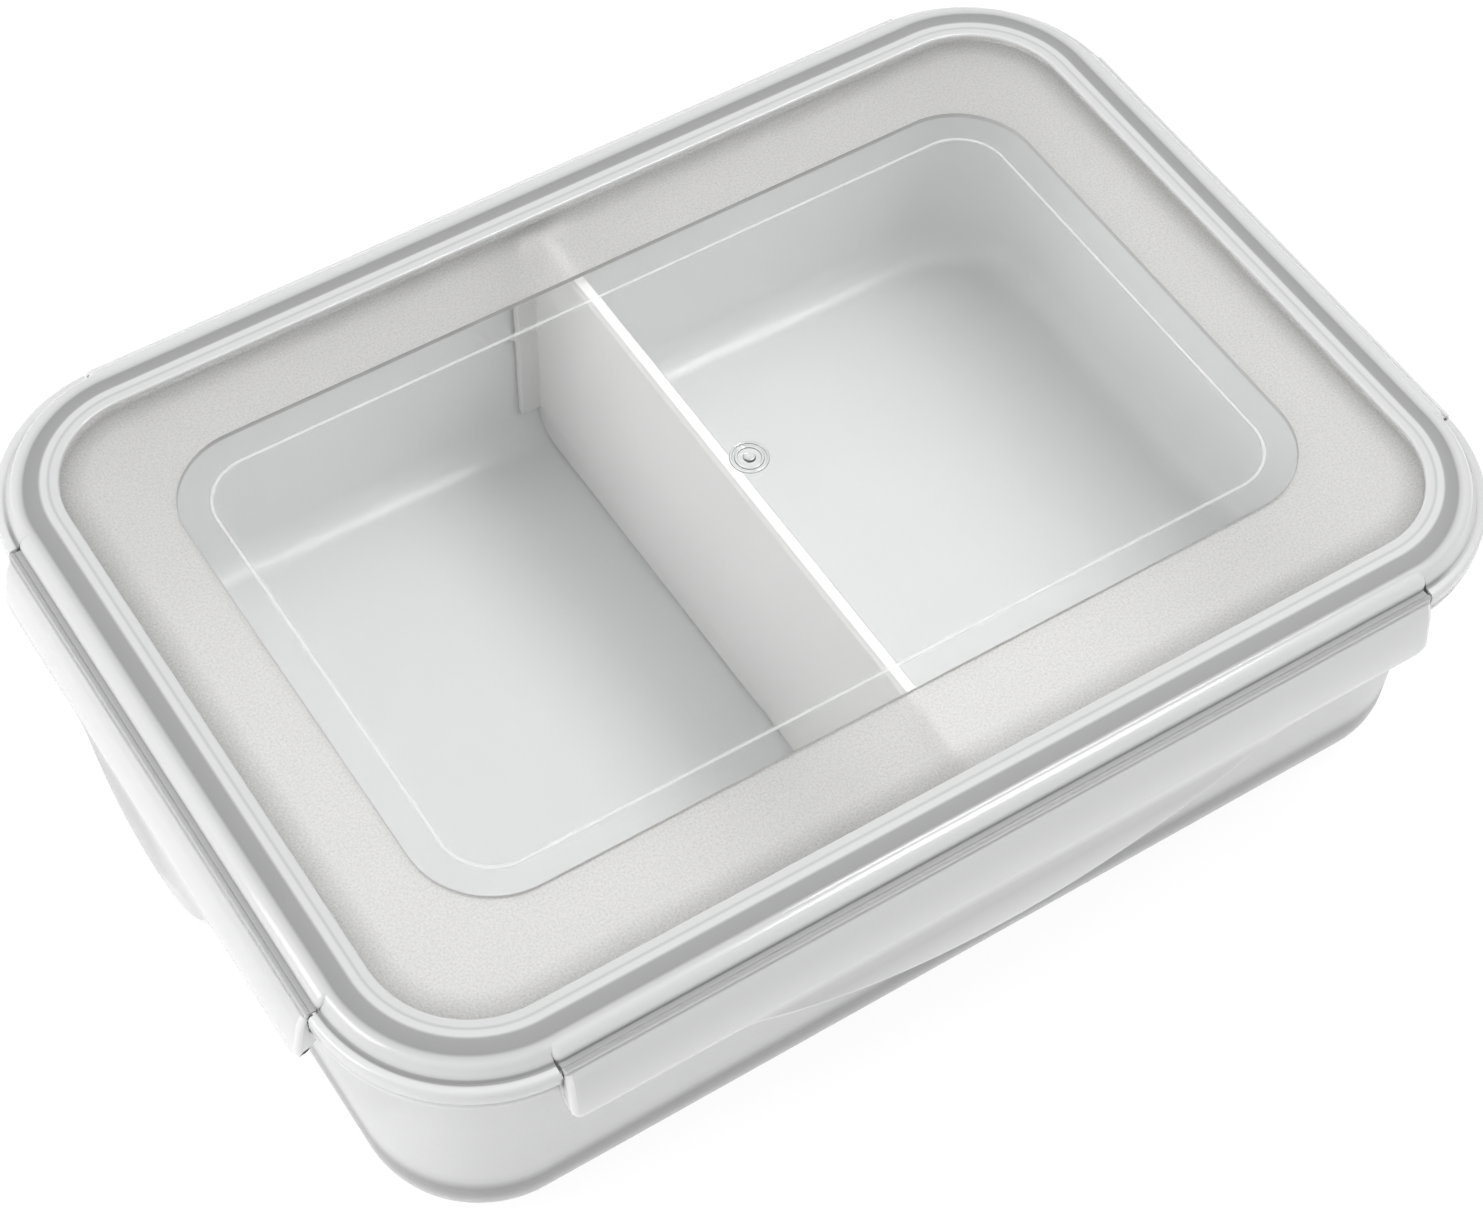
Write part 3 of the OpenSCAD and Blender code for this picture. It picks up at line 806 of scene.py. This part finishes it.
def make_gate_mark():
    """The moulding mark near the middle of the window: two low rings and a nub."""
    bpy.ops.object.select_all(action="DESELECT")
    rings = []
    for ring_r, bead_r in GATE_RINGS:
        bpy.ops.mesh.primitive_torus_add(
            major_radius=ring_r * MM, minor_radius=bead_r * MM, major_segments=64, minor_segments=12,
            location=(GATE_X * MM, GATE_Y * MM, (WINDOW_Z + GATE_RING_RISE) * MM))
        rings.append(bpy.context.object)
    bpy.ops.mesh.primitive_uv_sphere_add(
        segments=48, ring_count=24, radius=NUB_R * MM,
        location=(GATE_X * MM, GATE_Y * MM, (WINDOW_Z + NUB_RISE) * MM))
    mark = name_it(bpy.context.object, "gate_mark")
    mark.scale = (1, 1, NUB_FLATNESS)
    for ring in rings:
        ring.select_set(True)
    bpy.ops.object.join()
    bpy.ops.object.transform_apply(location=True, rotation=True, scale=True)
    smooth(mark)
    mark.data.materials.append(clear)
    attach(mark, "lid")


def make_seal():
    """The seal in the lid's groove: a round-cornered bar on two beads."""
    outer = (GROOVE_OUT, SEAL_MIDDLE_Z)
    inner = (0.0, SEAL_MIDDLE_Z)
    top = GROOVE_Z - SEAL_TOP_R
    upper = [outer, *arc(GROOVE_OUT - SEAL_TOP_R, top, SEAL_TOP_R, 0, 90, 4),
             *arc(SEAL_TOP_R, top, SEAL_TOP_R, 90, 180, 4), inner]
    lower = [outer, *arc(GROOVE_OUT - BEAD_R, BEAD_Z, BEAD_R, 0, -90, 4), (2.2, 57.75), (1.3, 57.75),
             *arc(BEAD_R, BEAD_Z, BEAD_R, 270, 180, 4), inner]
    seal = ring_piece("seal_ring", upper, lower)
    smooth(seal, 50)
    finish_piece(seal, "lid", "seal", "seal_silicone", silicone)


# ---- Latches ----

def latch_outline(side):
    """The latch seen from outside, as (sideways, height) points: a strip with round lower corners
    and a finger tab whose curve blends into the strip's lower edge."""
    where = SIDES[side]
    half, tab_half, blend = where["length"] / 2, where["tab"] / 2, where["blend"]
    depth = LATCH_LOW_Z - TAB_LOW_Z
    tab_r = (tab_half ** 2 + depth ** 2) / (2 * depth)
    tab_z = TAB_LOW_Z + tab_r
    blend_z = LATCH_LOW_Z - blend
    blend_y = math.sqrt((tab_r + blend) ** 2 - (tab_z - blend_z) ** 2)
    lean = math.degrees(math.asin(blend_y / (tab_r + blend)))
    right = [*arc(0, tab_z, tab_r, -90, -90 + lean, 24)[1:],
             *arc(blend_y, blend_z, blend, 90 + lean, 90, 8)[1:],
             *arc(half - LATCH_CORNER_R, LATCH_LOW_Z + LATCH_CORNER_R, LATCH_CORNER_R, -90, 0, 6),
             (half, HINGE_Z + 2)]
    left = [(-y, z) for y, z in reversed(right)]
    return [(0, TAB_LOW_Z), *right, *left]


def face_out(z):
    """How far out the latch's outer face lies at a height."""
    for (high_out, high), (low_out, low) in zip(LATCH_FACE, LATCH_FACE[1:]):
        if low <= z <= high:
            return low_out + (high_out - low_out) * (z - low) / (high - low)
    return LATCH_FACE[0][0]


def round_latch_face(latch):
    """Rounds the outline of the latch's outer face into a rim of the lighter edge material, a painted
    light.
    """
    edit(latch)
    bpy.ops.mesh.select_mode(type="EDGE")
    bpy.ops.mesh.edges_select_sharp(sharpness=math.radians(40))
    bpy.ops.object.mode_set(mode="OBJECT")
    ends = [v.co / MM for v in latch.data.vertices]
    for edge in latch.data.edges:
        at = [ends[i] for i in edge.vertices]
        on_face = all(end.z < HINGE_Z and end.x > face_out(end.z) - FACE_TOLERANCE for end in at)
        edge.select = edge.select and on_face
    bpy.ops.object.mode_set(mode="EDIT")
    bpy.ops.mesh.bevel(offset=LATCH_RIM_R * MM, segments=4, profile=0.5, material=1)
    done()


def make_latch(side):
    """A latch: a bar drawn out along its side, kept within the latch's outline."""
    half = half_length(side, SPARE)
    section = [*LATCH_FACE[1:], *LATCH_BACK, *arc(HINGE_OUT, HINGE_Z, HINGE_BEAD_R, 200, 20, 6)]
    latch = draw_out("latch", section, -half, half)
    outline = draw_out("outline", latch_outline(side), CATCH_IN - SPARE, LATCH_OUT + SPARE, along_y=False)
    combine(latch, outline, "INTERSECT")
    name_it(latch, "latch_" + side + "_plate")
    latch.data.materials.append(latch_plastic)
    latch.data.materials.append(edge_plastic)
    round_latch_face(latch)
    soften(latch, LATCH_EDGE_R, angle=40)
    turn_to(latch, side)
    finish_piece(latch, "latch_" + side, "latch_" + side, "lid_plastic", latch_plastic, edge_plastic)


def make_hinge(side):
    """The thin strip between a shoulder and its latch."""
    start = SHOULDER_OUT - HINGE_LAP
    bpy.ops.object.select_all(action="DESELECT")
    bpy.ops.mesh.primitive_grid_add(x_subdivisions=8, y_subdivisions=24, size=1)
    film = bpy.context.object
    film.scale = ((HINGE_OUT - start) * MM, 2 * half_length(side, -HINGE_END_GAP) * MM, 1)
    film.location = ((HINGE_OUT + start) / 2 * MM, 0, (HINGE_Z + HINGE_T / 2) * MM)
    bpy.ops.object.transform_apply(location=True, rotation=True, scale=True)
    name_it(film, "hinge_strip_" + side)
    apply(film, "SOLIDIFY", thickness=HINGE_T * MM, offset=-1)
    turn_to(film, side)
    smooth(film)
    film.data.materials.append(hinge_plastic)
    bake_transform(film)
    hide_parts("hinge_film_" + side)


make_tub()
make_divider()
make_lid_frame()
make_panel()
make_window()
make_gate_mark()
make_seal()
for side in SIDES:
    make_latch(side)
    make_hinge(side)


# ---- Floor, light and camera, in metres and watts ----

FLOOR_SIZE = 8
FLOOR_GLOW = 1.08
FLOOR_GLOW_SHARE = 0.85
LIGHT_FROM = (-0.75, -0.15, 0.64)
LIGHT_RANGE = (0.36, 0.6)
LAMP_AIM = (0, 0, 0.05)
LAMP_POWER = 3.0
SENSOR_W = 36
LENS = 81.28
CAMERA_PLACE = (-0.19617, -0.275, 0.48667)
CAMERA_TURN = (36.0757, -1.9346, -32.884)


def make_floor():
    """A white floor that looks plain white, and shades only a little where pieces stand on it."""
    bpy.ops.object.select_all(action="DESELECT")
    bpy.ops.mesh.primitive_plane_add(size=FLOOR_SIZE, location=(0, 0, 0))
    floor = name_it(bpy.context.object, "floor")
    material = bpy.data.materials.new("floor_white")
    material.use_nodes = True
    tree = material.node_tree
    nodes, links = tree.nodes, tree.links
    shader = nodes["Principled BSDF"]
    shader.inputs["Base Color"].default_value = (0.9, 0.9, 0.9, 1)
    shader.inputs["Roughness"].default_value = 0.9
    shader.inputs["Specular IOR Level"].default_value = 0.0
    glow = nodes.new("ShaderNodeEmission")
    glow.inputs["Strength"].default_value = FLOOR_GLOW
    ray = nodes.new("ShaderNodeLightPath").outputs
    direct = math_node(tree, "MAXIMUM", ray["Is Camera Ray"], ray["Is Glossy Ray"])
    seen = math_node(tree, "MAXIMUM", direct, ray["Is Transmission Ray"])
    mix = nodes.new("ShaderNodeMixShader")
    links.new(math_node(tree, "MULTIPLY", seen, FLOOR_GLOW_SHARE), mix.inputs[0])
    links.new(shader.outputs[0], mix.inputs[1])
    links.new(glow.outputs[0], mix.inputs[2])
    links.new(mix.outputs[0], nodes["Material Output"].inputs["Surface"])
    floor.data.materials.append(material)


def make_world():
    """Soft light from all round, more of it from the left and above. The camera sees plain white."""
    world = bpy.data.worlds.new("studio")
    bpy.context.scene.world = world
    world.use_nodes = True
    nodes, links = world.node_tree.nodes, world.node_tree.links
    fill = nodes["Background"]
    fill.inputs["Color"].default_value = (1, 1, 1, 1)
    place = nodes.new("ShaderNodeTexCoord")
    towards = nodes.new("ShaderNodeVectorMath")
    towards.operation = "DOT_PRODUCT"
    towards.inputs[1].default_value = LIGHT_FROM
    links.new(place.outputs["Generated"], towards.inputs[0])
    strength = nodes.new("ShaderNodeMapRange")
    strength.inputs["From Min"].default_value = -1
    strength.inputs["To Min"].default_value = LIGHT_RANGE[0]
    strength.inputs["To Max"].default_value = LIGHT_RANGE[1]
    links.new(towards.outputs["Value"], strength.inputs["Value"])
    links.new(strength.outputs["Result"], fill.inputs["Strength"])
    seen = nodes.new("ShaderNodeBackground")
    seen.inputs["Color"].default_value = (1, 1, 1, 1)
    path = nodes.new("ShaderNodeLightPath")
    mix = nodes.new("ShaderNodeMixShader")
    links.new(path.outputs["Is Camera Ray"], mix.inputs[0])
    links.new(fill.outputs[0], mix.inputs[1])
    links.new(seen.outputs[0], mix.inputs[2])
    links.new(mix.outputs[0], nodes["World Output"].inputs["Surface"])


def add_lamp(name, place, size):
    """A rectangular lamp that faces the object."""
    data = bpy.data.lights.new(name, "AREA")
    data.shape = "RECTANGLE"
    data.size, data.size_y = size
    data.energy = LAMP_POWER
    lamp = bpy.data.objects.new(name, data)
    bpy.context.scene.collection.objects.link(lamp)
    lamp.location = place
    lamp.rotation_euler = (Vector(LAMP_AIM) - Vector(place)).to_track_quat("-Z", "Y").to_euler()


def make_camera():
    """The camera, looking down on the lid from the front left."""
    data = bpy.data.cameras.new("camera")
    data.sensor_width = SENSOR_W
    data.lens = LENS
    camera = bpy.data.objects.new("camera", data)
    bpy.context.scene.collection.objects.link(camera)
    camera.location = CAMERA_PLACE
    camera.rotation_euler = [math.radians(a) for a in CAMERA_TURN]
    bpy.context.scene.camera = camera


make_floor()
make_world()
add_lamp("overhead", (0.32, -0.11, 0.83), (0.4, 0.3))
add_lamp("left_softbox", (-0.8, 0.1, 0.5), (0.5, 0.5))
make_camera()
bpy.context.scene.view_settings.view_transform = "Standard"
